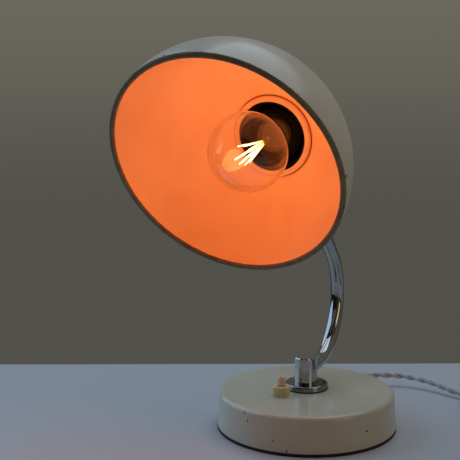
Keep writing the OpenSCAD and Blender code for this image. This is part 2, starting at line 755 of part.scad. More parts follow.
// Half section of the glass, moved inwards by inset, with the globe's centre at z = -bulb_reach
module glass_section(inset) {
    blend_z = -neck_len;
    meet_x = blend_x * globe_r / (globe_r + neck_blend_r);
    meet_z = -bulb_reach + blend_rise * globe_r / (globe_r + neck_blend_r);
    intersection() {
        union() {
            translate([0, -bulb_reach]) circle(r = globe_r - inset, $fn = 128);
            difference() {
                translate([0, meet_z - 2]) square([meet_x, blend_z - meet_z + 2]);
                translate([blend_x, blend_z]) circle(r = neck_blend_r + inset, $fn = 128);
            }
            polygon([[0, blend_z - e], [neck_r - inset, blend_z - e], [neck_r - inset, 0],
                     [cap_r - inset, cap_front + inset], [0, cap_front + inset]]);
        }
        translate([0, -bulb_reach - bulb_d]) square([bulb_d, bulb_d + bulb_reach + cap_front - inset]);
    }
}
module bulb_glass() {
    color("azure", 0.4) at_holder() rotate_extrude() difference() {
        glass_section(0);
        glass_section(glass_t);
    }
}
module bulb_cap() {
    color("gold") at_holder() translate([0, 0, cap_front]) rotate_extrude() difference() {
        union() {
            square([cap_r - 0.7, cap_len]);
            square([cap_r, 3]);
            translate([0, 3]) intersection() {
                thread_section(cap_r, 0.7, cap_len - 3, 3.6);
                square([cap_r, cap_len - 3]);
            }
        }
        translate([0, -e]) square([cap_r - 1.2, cap_len - 0.6]);
    }
}
module bulb_insulator() {
    color("black") at_holder() translate([0, 0, cap_front + cap_len])
        cylinder(r1 = 11, r2 = 5, h = contact_z - cap_front - cap_len - 1);
}
module bulb_contact() {
    color("silver") at_holder() translate([0, 0, contact_z - 1]) cylinder(r1 = 4.5, r2 = 3.5, h = 1);
}
module bulb_stem() {
    color("azure", 0.5) at_holder() {
        translate([0, 0, -3]) cylinder(r = 11.5, h = 7);
        translate([0, 0, stem_tip + 7]) cylinder(r1 = 3.2, r2 = 11.5, h = -3 - stem_tip - 7 + e);
        translate([0, 0, stem_tip]) cylinder(r = 1.4, h = 7 + e);
        translate([0, 0, stem_tip]) sphere(r = 2.2);
    }
}
// Support wires that fan out from the stem, and the filament on their tips
module wire(a, b, r) {
    d = b - a;
    translate(a) rotate([0, acos(d[2] / norm(d)), atan2(d[1], d[0])]) cylinder(r = r, h = norm(d));
}
module bulb_supports() {
    tip_r = filament_r - filament_wire_r - 0.5;
    color("silver") at_holder() rotate([0, 0, 20]) for (a = [-90 : 45 : 90])
        wire([2.6 * cos(a), 2.6 * sin(a), stem_tip - 0.5], [tip_r * cos(a), tip_r * sin(a), filament_z], 0.25);
}
module bulb_filament() {
    color("orange") at_holder() rotate([0, 0, 20]) translate([0, 0, filament_z]) rotate([0, 0, -100])
        rotate_extrude(angle = 200) translate([filament_r, 0]) circle(r = filament_wire_r);
}

// ---- Cord ----

module cord() { color("lavender") swept_tube(smooth_route(cord_route, 3), cord_r, 10); }
module cord_tail() { color("lavender") swept_tube(smooth_route(tail_route, 3), cord_r, 10); }
module cord_coil() {
    color("lavender") translate(coil_centre + [0, 0, coil_lift]) rotate_extrude() translate([coil_in_r, 0]) {
        translate([cord_r, 0]) square([coil_w - cord_d, coil_w]);
        translate([0, cord_r]) square([coil_w, coil_w - cord_d]);
        for (x = [cord_r, coil_w - cord_r], z = [cord_r, coil_w - cord_r])
            translate([x, z]) circle(r = cord_r, $fn = 32);
    }
}
module cord_tie() {
    inner = coil_w + 2 * tie_gap;
    color("black") translate(coil_centre) rotate([0, 0, tie_angle])
        translate([coil_in_r - tie_gap - tie_t, -tie_w / 2, coil_lift - tie_gap - tie_t]) difference() {
            cube([inner + 2 * tie_t, tie_w, inner + 2 * tie_t]);
            translate([tie_t, -e, tie_t]) cube([inner, tie_w + 2 * e, inner]);
        }
}
module plug_body() {
    color("black") at_plug() translate([0, 0, plug_sleeve_len]) difference() {
        union() {
            cylinder(r1 = 8, r2 = plug_d / 2, h = plug_taper);
            translate([0, 0, plug_taper]) cylinder(d = plug_d, h = plug_len - plug_taper - plug_edge);
            translate([0, 0, plug_len - plug_edge])
                cylinder(d1 = plug_d, d2 = plug_d - 2 * plug_edge, h = plug_edge);
        }
        for (s = [-1, 1]) translate([s * pin_pitch / 2, 0, plug_len - pin_root])
            cylinder(d = pin_root_d, h = pin_root + 1);
    }
}
module plug_sleeve() {
    color("black") at_plug() difference() {
        cylinder(r1 = cord_r + 1, r2 = 7, h = plug_sleeve_len);
        translate([0, 0, -e]) cylinder(r = cord_r, h = 5);
    }
}
module plug_pins() {
    color("gold") at_plug() for (s = [-1, 1]) translate([s * pin_pitch / 2, 0, plug_sleeve_len + plug_len]) {
        translate([0, 0, -pin_root]) cylinder(d = pin_root_d, h = pin_root + e);
        cylinder(d = pin_d, h = pin_len - 1);
        translate([0, 0, pin_len - 1]) cylinder(r1 = pin_d / 2, r2 = pin_d / 2 - 1, h = 1);
    }
}

base_shell();
base_edge_ring();
base_plate();
base_weight();
felt_pad();
base_posts();
plate_screws();
flange_gasket();
pivot_washer();
switch_body();
switch_collar();
switch_button();
switch_spring();
switch_terminals();
switch_leads();
terminal_block();
terminal_screws();
cord_clamp();
clamp_screws();
cord_bush();
cord_inner();
pivot_flange();
pivot_stud();
pivot_spring_washer();
pivot_nuts();
knuckle();
arm_tube();
arm_lead();
arm_fork();
tilt_washers();
tilt_screw();
tilt_knob();
loop_lead();
tilt_bracket();
bracket_rivets();
holder_cup();
shade();
shade_ring();
holder_skirt();
holder_body();
thread_shell();
holder_contacts();
holder_nipple();
nipple_nuts();
bulb_glass();
bulb_cap();
bulb_insulator();
bulb_contact();
bulb_stem();
bulb_supports();
bulb_filament();
cord();
cord_coil();
cord_tail();
cord_tie();
plug_body();
plug_sleeve();
plug_pins();
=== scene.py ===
"""Bedside lamp with a hemispherical shade on a bent chrome arm: its looks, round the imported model.

Lengths are in metres, in the lamp's own frame: the origin is under the middle of the base, +Z is up
and the lamp faces -Y. Values written as 12 * MM are millimetres.
"""
import json
import math

import bpy
from mathutils import Matrix, Vector


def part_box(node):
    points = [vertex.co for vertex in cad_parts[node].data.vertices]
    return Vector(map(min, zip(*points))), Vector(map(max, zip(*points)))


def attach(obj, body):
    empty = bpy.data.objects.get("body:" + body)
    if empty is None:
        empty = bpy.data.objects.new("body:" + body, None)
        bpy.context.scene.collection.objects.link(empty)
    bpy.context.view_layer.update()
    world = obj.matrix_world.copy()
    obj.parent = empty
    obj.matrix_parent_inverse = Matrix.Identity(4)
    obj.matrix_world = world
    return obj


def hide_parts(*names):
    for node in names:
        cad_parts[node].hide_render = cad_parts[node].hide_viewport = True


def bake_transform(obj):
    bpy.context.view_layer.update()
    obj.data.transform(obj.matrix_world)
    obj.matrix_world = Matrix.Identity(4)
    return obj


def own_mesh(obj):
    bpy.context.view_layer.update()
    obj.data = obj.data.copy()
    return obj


MM = 0.001
TAU = 2 * math.pi
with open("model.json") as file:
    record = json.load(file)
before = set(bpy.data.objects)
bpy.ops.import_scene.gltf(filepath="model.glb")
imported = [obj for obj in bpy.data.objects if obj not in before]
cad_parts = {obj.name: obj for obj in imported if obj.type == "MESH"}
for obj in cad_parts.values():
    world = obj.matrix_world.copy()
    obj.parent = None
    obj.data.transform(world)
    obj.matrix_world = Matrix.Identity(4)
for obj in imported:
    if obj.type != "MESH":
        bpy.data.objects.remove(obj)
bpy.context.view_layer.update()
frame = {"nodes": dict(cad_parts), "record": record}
NODES = frame["nodes"]


# ---------------------------------------------------------------- frame of the lamp's head

def middle(node):
    """Centre of a node's box, which is on the axis of a round piece."""
    low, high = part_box(node)
    return (low + high) / 2


HOLDER_AXIS = (middle("holder_nipple") - middle("thread_shell")).normalized()   # backwards, out of the shade
SEAT_TO_SHELL = 20.5 * MM        # from the shade's seat back to the middle of the thread shell
SEAT = middle("thread_shell") - SEAT_TO_SHELL * HOLDER_AXIS
HOLDER_DOWN = Vector((1, 0, 0)).cross(HOLDER_AXIS).normalized() * -1
AT_HOLDER = (Matrix.Translation(SEAT)
             @ Matrix((Vector((1, 0, 0)), HOLDER_DOWN, HOLDER_AXIS)).transposed().to_4x4())

SHADE_R = 87 * MM                # outside of the dome
SHADE_WALL = 0.8 * MM
SEAT_TO_CENTRE = 80.9 * MM       # from the seat forwards to the middle of the dome's sphere
SHADE_OFFSET = math.radians(16.5)
SHADE_CENTRE = SEAT - SEAT_TO_CENTRE * HOLDER_AXIS
SHADE_POLE = Matrix.Rotation(SHADE_OFFSET, 3, "X") @ HOLDER_AXIS
RIM_UP = Vector((1, 0, 0)).cross(SHADE_POLE)                # in the plane of the rim, towards its top
FILAMENT_Z = -47 * MM            # middle of the filament, on the holder's axis
FILAMENT = AT_HOLDER @ Vector((0, 0, FILAMENT_Z))

BASE_R = 75 * MM                 # at the foot of the base's wall
BASE_FLARE = 1.5 * MM            # how far the wall leans in by its top
BASE_WALL_H = 27.3 * MM


# ---------------------------------------------------------------- camera

CAMERA_PLACE = Vector((0.3006, -0.7240, 0.2768))
CAMERA_AHEAD = Vector((-0.453, 0.8805, -0.1396)).normalized()
CAMERA_UP = Vector((-0.0616, 0.1253, 0.9902))
CAMERA_LENS = 75.1               # millimetres, on a sensor 36 mm wide


def add_camera():
    """The view from the front and right, a little above the base."""
    ahead = CAMERA_AHEAD
    right = ahead.cross(CAMERA_UP).normalized()
    up = right.cross(ahead)
    data = bpy.data.cameras.new("camera")
    data.lens = CAMERA_LENS
    data.sensor_width = 36
    data.clip_start = 0.01
    camera = bpy.data.objects.new("camera", data)
    camera.matrix_world = (Matrix.Translation(CAMERA_PLACE)
                           @ Matrix((right, up, -ahead)).transposed().to_4x4())
    bpy.context.scene.collection.objects.link(camera)
    bpy.context.scene.camera = camera


add_camera()


# ---------------------------------------------------------------- modelling helpers

def deselect_all():
    bpy.ops.object.select_all(action="DESELECT")


def pick(piece):
    """Selects one object and nothing else, and makes it the active one."""
    deselect_all()
    piece.select_set(True)
    bpy.context.view_layer.objects.active = piece


def settle(piece, place=Matrix()):
    """Sets a piece in its place and leaves its object at the origin."""
    pick(piece)
    piece.matrix_world = place @ piece.matrix_world
    bpy.ops.object.transform_apply(location=True, rotation=True, scale=True)


def smooth(piece, angle=35):
    """Smooth shading, with edges kept sharp past an angle in degrees."""
    pick(piece)
    bpy.ops.object.shade_smooth_by_angle(angle=math.radians(angle))


def apply_modifier(piece, kind, **settings):
    """Adds a modifier with its settings and applies it."""
    pick(piece)
    modifier = piece.modifiers.new(kind.lower(), kind)
    for name, value in settings.items():
        setattr(modifier, name, value)
    bpy.ops.object.modifier_apply(modifier=modifier.name)


def cover(piece, material):
    """Gives a piece one material, in place of any that it had."""
    piece.data.materials.clear()
    piece.data.materials.append(material)


def dress(piece, material, body, *stands_for, slot=None):
    """Gives a new piece its material, the body that it rides on and the nodes that it stands for."""
    cover(piece, material)
    if body:
        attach(piece, body)
    if stands_for:
        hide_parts(*stands_for)
    return piece


def turned(name, outline, place=Matrix(), steps=96, angle=35):
    """A turned piece: its outline of (radius, height) points is drawn vertex by vertex and spun."""
    deselect_all()
    bpy.ops.mesh.primitive_plane_add(size=MM)
    piece = bpy.context.object
    piece.name = name
    bpy.ops.object.mode_set(mode="EDIT")
    bpy.ops.mesh.merge(type="CENTER")
    here = outline[0]
    bpy.ops.transform.translate(value=(here[0], 0, here[1]))
    for point in outline[1:]:
        step = (point[0] - here[0], 0, point[1] - here[1])
        bpy.ops.mesh.extrude_vertices_move(TRANSFORM_OT_translate={"value": step})
        here = point
    bpy.ops.mesh.select_all(action="SELECT")
    bpy.ops.mesh.spin(steps=steps, angle=TAU, center=(0, 0, 0), axis=(0, 0, 1))
    bpy.ops.mesh.select_all(action="SELECT")
    bpy.ops.mesh.remove_doubles(threshold=0.005 * MM)
    bpy.ops.mesh.normals_make_consistent(inside=False)
    bpy.ops.object.mode_set(mode="OBJECT")
    settle(piece, place)
    smooth(piece, angle)
    return piece


def arc(centre, radius, start, end, count):
    """Points on an arc, for an outline; angles in degrees from +radius towards +height."""
    steps = [math.radians(start + (end - start) * i / count) for i in range(count + 1)]
    return [(centre[0] + radius * math.cos(a), centre[1] + radius * math.sin(a)) for a in steps]


# ---------------------------------------------------------------- routes and swept cords

def curve_point(a, b, c, d, t):
    """A point on the smooth curve from b to c, where a and d are the neighbours; t runs from 0 to 1."""
    return 0.5 * (2 * b + (c - a) * t + (2 * a - 5 * b + 4 * c - d) * t ** 2
                  + (3 * b - a - 3 * c + d) * t ** 3)


def smooth_route(points, count):
    """A smooth curve through the points, with count steps between each two."""
    last = len(points) - 1
    out = []
    for i in range(last):
        a, b, c, d = points[max(i - 1, 0)], points[i], points[i + 1], points[min(i + 2, last)]
        out += [curve_point(a, b, c, d, k / count) for k in range(count)]
    return out + [points[last]]


def length_of(points):
    return sum((b - a).length for a, b in zip(points, points[1:]))


def evenly(points, spacing):
    """The same line with its points a set distance apart."""
    total = length_of(points)
    count = max(2, round(total / spacing))
    out, index, done = [points[0].copy()], 0, 0.0
    for k in range(1, count):
        target = total * k / count
        while done + (points[index + 1] - points[index]).length < target:
            done += (points[index + 1] - points[index]).length
            index += 1
        share = (target - done) / (points[index + 1] - points[index]).length
        out.append(points[index].lerp(points[index + 1], share))
    return out + [points[-1].copy()]


def turning_frames(points):
    """(tangent, side, other side) at each point, carried along the line without twist."""
    frames, side = [], None
    for i, point in enumerate(points):
        ahead = points[min(i + 1, len(points) - 1)] - points[max(i - 1, 0)]
        ahead.normalize()
        if side is None:
            side = ahead.orthogonal().normalized()
        side = (side - ahead * side.dot(ahead)).normalized()
        frames.append((ahead, side, ahead.cross(side)))
    return frames


def sweep(rings, uv_rows, closed_ends=True):
    """Vertices, faces and UVs of tubes, each a list of rings of points.

    uv_rows gives each ring's distance along its tube.
    """
    verts, faces, uvs = [], [], []
    for tube, along in zip(rings, uv_rows):
        base, sides = len(verts), len(tube[0])
        for ring in tube:
            verts += ring
        for i in range(len(tube) - 1):
            for k in range(sides):
                a, b = base + i * sides + k, base + i * sides + (k + 1) % sides
                faces.append((a, b, b + sides, a + sides))
                uvs.append([(along[i], k / sides), (along[i], (k + 1) / sides),
                            (along[i + 1], (k + 1) / sides), (along[i + 1], k / sides)])
        if closed_ends:
            faces.append(tuple(base + k for k in reversed(range(sides))))
            uvs.append([(along[0], 0)] * sides)
            top = base + (len(tube) - 1) * sides
            faces.append(tuple(top + k for k in range(sides)))
            uvs.append([(along[-1], 0)] * sides)
    return verts, faces, uvs


def mesh_piece(name, verts, faces, uvs=None):
    """An object from vertices and faces, with a UV map if uvs are given."""
    mesh = bpy.data.meshes.new(name)
    mesh.from_pydata([tuple(v) for v in verts], [], faces)
    if uvs:
        layer = mesh.uv_layers.new(name="along")
        for face, corners in zip(mesh.polygons, uvs):
            for index, uv in zip(face.loop_indices, corners):
                layer.data[index].uv = uv
    mesh.update()
    piece = bpy.data.objects.new(name, mesh)
    bpy.context.scene.collection.objects.link(piece)
    smooth(piece, 60)
    return piece


def ring_round(centre, radius, u, v, sides):
    """A ring of points round a centre, from u towards v."""
    return [centre + radius * (math.cos(TAU * k / sides) * u + math.sin(TAU * k / sides) * v)
            for k in range(sides)]


def strand_rings(points, offset_r, strand_r, pitch, phase, sides):
    """Rings of one strand that winds round a line."""
    rings, along, done = [], [], 0.0
    for i, (point, (ahead, u, v)) in enumerate(zip(points, turning_frames(points))):
        if i:
            done += (point - points[i - 1]).length
        turn = phase + TAU * done / pitch
        out = u * math.cos(turn) + v * math.sin(turn)
        lean = v * math.cos(turn) - u * math.sin(turn)
        heading = (ahead + lean * (TAU * offset_r / pitch)).normalized()
        across = out.cross(heading).normalized() * -1
        centre = point + out * offset_r
        rings.append(ring_round(centre, strand_r, out, across, sides))
        along.append(done)
    return rings, along


def twisted_pair(name, points, diameter, pitch, sides=10, phase=0.0):
    """Two fabric strands wound round each other along a line."""
    strand_r = diameter / 4
    tubes = [strand_rings(points, strand_r, strand_r, pitch, phase + half * math.pi, sides)
             for half in (0, 1)]
    return mesh_piece(name, *sweep([t[0] for t in tubes], [t[1] for t in tubes]))


# ---------------------------------------------------------------- shader helpers

def put(tree, kind, inputs=None, **settings):
    """Adds a node. inputs maps a socket's name or number to a value or to the socket that feeds it."""
    node = tree.nodes.new(kind)
    for name, value in settings.items():
        setattr(node, name, value)
    for key, value in (inputs or {}).items():
        if isinstance(value, bpy.types.NodeSocket):
            tree.links.new(value, node.inputs[key])
        else:
            node.inputs[key].default_value = value
    return node


def maths(tree, operation, a, b=0.0, clamp=False):
    return put(tree, "ShaderNodeMath", {0: a, 1: b}, operation=operation, use_clamp=clamp).outputs[0]


def blend_colours(tree, share, a, b, mode="MIX"):
    return put(tree, "ShaderNodeMix", {0: share, 6: a, 7: b}, data_type="RGBA", blend_type=mode).outputs[2]


def blend_values(tree, share, a, b):
    return put(tree, "ShaderNodeMix", {0: share, 2: a, 3: b}, data_type="FLOAT").outputs[0]


def ramp(tree, value, low, high, to_low=0.0, to_high=1.0):
    """Smooth step from low to high."""
    return put(tree, "ShaderNodeMapRange", {0: value, 1: low, 2: high, 3: to_low, 4: to_high},
               interpolation_type="SMOOTHSTEP").outputs[0]


def noise(tree, vector, scale, detail=4.0, roughness=0.5):
    return put(tree, "ShaderNodeTexNoise", {"Vector": vector, "Scale": scale, "Detail": detail,
                                            "Roughness": roughness}).outputs[0]


def coordinates(tree):
    return put(tree, "ShaderNodeTexCoord").outputs["Object"]


def group(name, inputs, outputs):
    """An empty node group: inputs are (name, kind, default) and outputs are (name, kind)."""
    tree = bpy.data.node_groups.new(name, "ShaderNodeTree")
    kinds = {"float": "NodeSocketFloat", "vector": "NodeSocketVector", "colour": "NodeSocketColor"}
    for label, kind, default in inputs:
        socket = tree.interface.new_socket(label, in_out="INPUT", socket_type=kinds[kind])
        if default is not None:
            socket.default_value = default
    for label, kind in outputs:
        tree.interface.new_socket(label, in_out="OUTPUT", socket_type=kinds[kind])
    return tree, tree.nodes.new("NodeGroupInput").outputs, tree.nodes.new("NodeGroupOutput").inputs


def use(tree, made, **inputs):
    """Places a group in a material. Underscores in the names stand for spaces."""
    node = tree.nodes.new("ShaderNodeGroup")
    node.node_tree = made
    for name, value in inputs.items():
        key = name.replace("_", " ")
        if isinstance(value, bpy.types.NodeSocket):
            tree.links.new(value, node.inputs[key])
        else:
            node.inputs[key].default_value = value
    return node.outputs


def finish_material(name, colour=None, **settings):
    """A material with a Principled BSDF, whose sockets take the settings.

    Returns the material, its node tree and its shader.
    """
    material = bpy.data.materials.new(name)
    material.use_nodes = True
    tree = material.node_tree
    shader = tree.nodes["Principled BSDF"]
    if colour:
        shader.inputs["Base Color"].default_value = (*colour, 1)
    for key, value in settings.items():
        shader.inputs[key.replace("_", " ")].default_value = value
    return material, tree, shader


def distance_from(tree, vector, place):
    """How far each point of the surface is from a fixed place."""
    return put(tree, "ShaderNodeVectorMath", {0: vector, 1: tuple(place)},
               operation="DISTANCE").outputs["Value"]


def raise_surface(tree, shader, height, strength, distance):
    """A bump from a height, into the shader's normal."""
    bump = put(tree, "ShaderNodeBump", {"Height": height, "Strength": strength, "Distance": distance})
    tree.links.new(bump.outputs[0], shader.inputs["Normal"])


# ---------------------------------------------------------------- shared effects

def make_smudges():
    """Finger marks and haze on a polished surface: a roughness and a slow change of brightness."""
    tree, given, out = group("smudges", [("Vector", "vector", None), ("Scale", "float", 60.0),
                                         ("Low", "float", 0.05), ("High", "float", 0.2)],
                             [("Roughness", "float"), ("Haze", "float")])
    broad = noise(tree, given["Vector"], given["Scale"], 5.0, 0.6)
    fine = noise(tree, given["Vector"], 900.0, 3.0, 0.6)
    haze = ramp(tree, broad, 0.45, 0.75)
    mixed = maths(tree, "ADD", maths(tree, "MULTIPLY", haze, 0.8), maths(tree, "MULTIPLY", fine, 0.2))
    tree.links.new(put(tree, "ShaderNodeMapRange", {0: mixed, 1: 0.0, 2: 1.0, 3: given["Low"],
                                                    4: given["High"]}).outputs[0], out["Roughness"])
    tree.links.new(haze, out["Haze"])
    return tree


def make_pinholes():
    """Small sparse spots, such as pinholes and specks of dirt in old enamel."""
    tree, given, out = group("pinholes", [("Vector", "vector", None), ("Scale", "float", 90.0),
                                          ("Size", "float", 0.1), ("Share", "float", 0.3)],
                             [("Mask", "float")])
    wavy = put(tree, "ShaderNodeTexNoise", {"Vector": given["Vector"], "Scale": 700.0}).outputs[1]
    bent = put(tree, "ShaderNodeMix", {0: 0.0012, 4: given["Vector"], 5: wavy}, data_type="VECTOR").outputs[1]
    cells = put(tree, "ShaderNodeTexVoronoi", {"Vector": bent, "Scale": given["Scale"]})
    draw = put(tree, "ShaderNodeSeparateColor", {0: cells.outputs["Color"]}).outputs[0]
    chosen = maths(tree, "LESS_THAN", draw, given["Share"])
    near = put(tree, "ShaderNodeMapRange", {0: cells.outputs["Distance"], 1: given["Size"],
                                            2: maths(tree, "MULTIPLY", given["Size"], 0.6),
                                            3: 0.0, 4: 1.0}, interpolation_type="SMOOTHSTEP").outputs[0]
    tree.links.new(maths(tree, "MULTIPLY", near, chosen), out["Mask"])
    return tree


def make_chip():
    """One chip with a ragged outline, at a centre and with a radius."""
    tree, given, out = group("chip", [("Vector", "vector", None), ("Centre", "vector", None),
                                      ("Radius", "float", MM)], [("Mask", "float")])
    gap = put(tree, "ShaderNodeVectorMath", {0: given["Vector"], 1: given["Centre"]}, operation="DISTANCE")
    ragged = noise(tree, given["Vector"], 1400.0, 2.0)
    edge = maths(tree, "MULTIPLY", given["Radius"], maths(tree, "ADD", ragged, 0.5))
    share = maths(tree, "DIVIDE", gap.outputs["Value"], edge)
    tree.links.new(ramp(tree, share, 1.0, 0.8), out["Mask"])
    return tree


def make_braid():
    """Two sets of yarns that cross, for a woven sleeve.

    U runs along the cord in metres and V goes round it.
    """
    tree, given, out = group("braid", [("Vector", "vector", None), ("Round", "float", 8.0),
                                       ("Pitch", "float", 3.0 * MM)],
                             [("Height", "float"), ("Thread", "float")])
    parts = put(tree, "ShaderNodeSeparateXYZ", {0: given["Vector"]}).outputs
    along = maths(tree, "DIVIDE", parts[0], given["Pitch"])
    round_turns = maths(tree, "MULTIPLY", parts[1], given["Round"])
    waves = []
    for sign in ("ADD", "SUBTRACT"):
        turn = maths(tree, sign, along, round_turns)
        waves.append(maths(tree, "ABSOLUTE", maths(tree, "SINE", maths(tree, "MULTIPLY", turn, math.pi))))
    height = maths(tree, "MAXIMUM", *waves)
    tree.links.new(height, out["Height"])
    tree.links.new(waves[0], out["Thread"])
    return tree


SMUDGES, PINHOLES, CHIP, BRAID = make_smudges(), make_pinholes(), make_chip(), make_braid()


# ---------------------------------------------------------------- materials

def chips_at(tree, vector, chips):
    """All the chips of a list of (place, radius) in one mask."""
    mask = 0.0
    for place, radius in chips:
        one = use(tree, CHIP, Vector=vector, Centre=tuple(place), Radius=radius)["Mask"]
        mask = maths(tree, "MAXIMUM", one, mask)
    return mask


def old_enamel(name, chips, light, dark):
    """Gloss cream enamel that has yellowed, with pinholes, dirt and chips down to dark metal."""
    material, tree, shader = finish_material(name, Specular_IOR_Level=0.5, Coat_Roughness=0.12)
    vector = coordinates(tree)
    cloud = ramp(tree, noise(tree, vector, 14.0, 5.0, 0.6), 0.3, 0.7)
    colour = blend_colours(tree, cloud, (*light, 1), (*dark, 1))
    grime = ramp(tree, noise(tree, vector, 160.0, 6.0, 0.7), 0.55, 0.8, 0.0, 0.35)
    colour = blend_colours(tree, grime, colour, (0.30, 0.26, 0.18, 1))
    specks = use(tree, PINHOLES, Vector=vector, Scale=110.0, Size=0.06, Share=0.22)["Mask"]
    colour = blend_colours(tree, maths(tree, "MULTIPLY", specks, 0.75), colour, (0.09, 0.075, 0.05, 1))
    bare = chips_at(tree, vector, chips)
    colour = blend_colours(tree, bare, colour, (0.035, 0.03, 0.027, 1))
    tree.links.new(colour, shader.inputs["Base Color"])
    marks = use(tree, SMUDGES, Vector=vector, Scale=45.0, Low=0.26, High=0.48)
    rough = blend_values(tree, bare, marks["Roughness"], 0.75)
    tree.links.new(rough, shader.inputs["Roughness"])
    tree.links.new(blend_values(tree, bare, 0.35, 0.0), shader.inputs["Coat Weight"])
    peel = noise(tree, vector, 350.0, 2.0)
    height = maths(tree, "SUBTRACT", maths(tree, "MULTIPLY", peel, 0.12),
                   maths(tree, "MAXIMUM", bare, specks))
    raise_surface(tree, shader, height, 0.5, 0.25 * MM)
    return material


# Chips on the rounded top edge of the base: degrees round it, distance from the axis, height, radius
EDGE_CHIPS = [(11, 70.8, 32, 1.1), (-104, 68.8, 32, 0.8), (-114.5, 62, 32.3, 0.6), (154, 73.4, 30, 0.8),
              (74.5, 74.2, 29.5, 0.9)]
# Chips on the wall of the base: degrees round it, height, radius
WALL_CHIPS = [(-109, 28.2, 0.9), (-106, 21.8, 0.8), (-106, 23.6, 0.5), (-106, 25.4, 0.35),
              (-27.5, 16.2, 1.0), (-87.5, 11, 0.7), (-79, 4, 0.9), (174, 12, 0.8)]
# Chips on the shade's rim: degrees round it from the lamp's right, radius
RIM_CHIPS = [(137.5, 1.6), (140, 1.3), (123.5, 1.5), (104.5, 1.3), (-2.5, 1.5)]


def round_the_base(degrees, distance, height):
    """A place round the base's axis."""
    angle = math.radians(degrees)
    return Vector((distance * math.cos(angle), distance * math.sin(angle), height))


def base_chips():
    """The base's chips as (place, radius)."""
    chips = [(round_the_base(degrees, distance * MM, height * MM), radius * MM)
             for degrees, distance, height, radius in EDGE_CHIPS]
    for degrees, height, radius in WALL_CHIPS:
        wall_r = BASE_R - BASE_FLARE * height * MM / BASE_WALL_H
        chips.append((round_the_base(degrees, wall_r, height * MM), radius * MM))
    return chips


def rim_chips():
    """The rim's chips as (place, radius), just outside the dome's edge."""
    chips = []
    for degrees, radius in RIM_CHIPS:
        angle = math.radians(degrees)
        outwards = math.cos(angle) * Vector((1, 0, 0)) + math.sin(angle) * RIM_UP
        chips.append((SHADE_CENTRE + (SHADE_R + 0.5 * MM) * outwards, radius * MM))
    return chips


